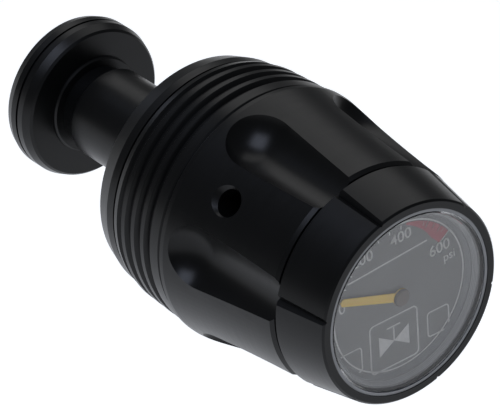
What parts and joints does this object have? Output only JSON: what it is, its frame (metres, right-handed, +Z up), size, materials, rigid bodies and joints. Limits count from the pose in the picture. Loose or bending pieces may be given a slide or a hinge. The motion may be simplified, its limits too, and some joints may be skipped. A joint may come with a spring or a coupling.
{
  "type": "carbon dioxide regulator",
  "caption": "Tapered fluted gas regulator body with a built-in front pressure gauge, a ridged rear bonnet and a disc knob on a long neck.",
  "frame": {"origin": "centre of the bounding box, on the turning axis, halfway between the knob's rear face and the gauge rim", "axes": "-Y along the axis towards the gauge, +Y towards the knob; +Z up on the dial, +X to the dial's right"},
  "size_m": [0.0474, 0.0932, 0.0474],
  "materials": {
    "black_anodised": "black satin anodised",
    "steel": "machined",
    "brass": "machined",
    "rubber": "moulded",
    "grey_silicone": "moulded grey silicone",
    "sintered_bronze": "sintered",
    "dial_paint": "printed",
    "surround_plastic": "moulded",
    "window": "polished clear",
    "pointer_paint": "yellow enamel",
    "hub_enamel": "dark brown enamel"
  },
  "bodies": {
    "housing": {"bonnet": "black_anodised", "main_body": "black_anodised", "inlet_filter": "sintered_bronze", "valve_seat": "brass", "seat_seal": "rubber", "case_gasket": "rubber", "gauge_case": "black_anodised", "dial_surround": "surround_plastic", "dial_plate": "dial_paint", "lens_seal": "grey_silicone", "lens": "window", "gauge_socket": "brass", "socket_seal": "rubber", "bourdon_tube": "brass", "movement_rear_plate": "brass", "movement_front_plate": "brass", "movement_pillars": "brass", "movement_screws": "brass", "hairspring": "brass", "main_spring": "steel", "poppet_spring": "steel"},
    "follower": {"spring_follower": "steel", "thrust_ball": "steel"},
    "knob": {"knob_disc": "black_anodised", "knob_screw": "steel", "adjuster_stem": "black_anodised", "stop_ring": "steel"},
    "piston": {"piston": "brass", "piston_seal": "rubber"},
    "poppet": {"poppet": "brass", "poppet_pad": "rubber"},
    "sector": {"sector_gear": "brass", "sector_arbor": "brass", "tail_pin": "brass"},
    "link": {"link": "brass"},
    "tube_tip": {"bourdon_tip": "brass"},
    "pointer": {"pinion": "brass", "pointer": "pointer_paint", "pointer_hub": "hub_enamel"}
  },
  "joints": [
    {"name": "adjuster_travel", "type": "slide", "parent": "housing", "child": "follower", "axis": [0, -1, 0], "range_m": [0, 0.0045], "deforming": ["main_spring"]},
    {"name": "knob_turn", "type": "hinge", "parent": "follower", "child": "knob", "pos_m": [0, 0.04315, 0], "axis": [0, -1, 0], "range_deg": [0, 1080]},
    {"name": "piston_travel", "type": "slide", "parent": "housing", "child": "piston", "axis": [0, -1, 0], "range_m": [0, 0.0008], "stiffness_N_per_m": 400, "deforming": ["main_spring", "poppet_spring"]},
    {"name": "poppet_travel", "type": "slide", "parent": "housing", "child": "poppet", "axis": [0, -1, 0], "range_m": [0, 0.0008]},
    {"name": "sector_turn", "type": "hinge", "parent": "housing", "child": "sector", "pos_m": [0.00308, -0.04015, -0.00846], "axis": [0, -1, 0], "range_deg": [0, 26.2], "stiffness_Nm_per_rad": 0.0004, "deforming": ["bourdon_tube", "hairspring"]},
    {"name": "pointer_turn", "type": "hinge", "parent": "housing", "child": "pointer", "pos_m": [0, -0.04015, 0], "axis": [0, 1, 0], "range_deg": [0, 131]},
    {"name": "link_swing", "type": "hinge", "parent": "sector", "child": "link", "pos_m": [0.008, -0.04085, -0.00933], "axis": [0, -1, 0], "range_deg": [-26.2, 0]},
    {"name": "tube_flex", "type": "hinge", "parent": "housing", "child": "tube_tip", "pos_m": [-0.00103, -0.03965, -0.00375], "axis": [0, -1, 0], "range_deg": [0, 10.33]}
  ],
  "couplings": [
    {"joint": "knob_turn", "follows": "adjuster_travel", "rad_per_m": 4188.8},
    {"joint": "poppet_travel", "follows": "piston_travel", "ratio": 1},
    {"joint": "pointer_turn", "follows": "sector_turn", "ratio": 5},
    {"joint": "link_swing", "follows": "sector_turn", "ratio": -1},
    {"joint": "tube_flex", "follows": "sector_turn", "ratio": 0.39391}
  ]
}
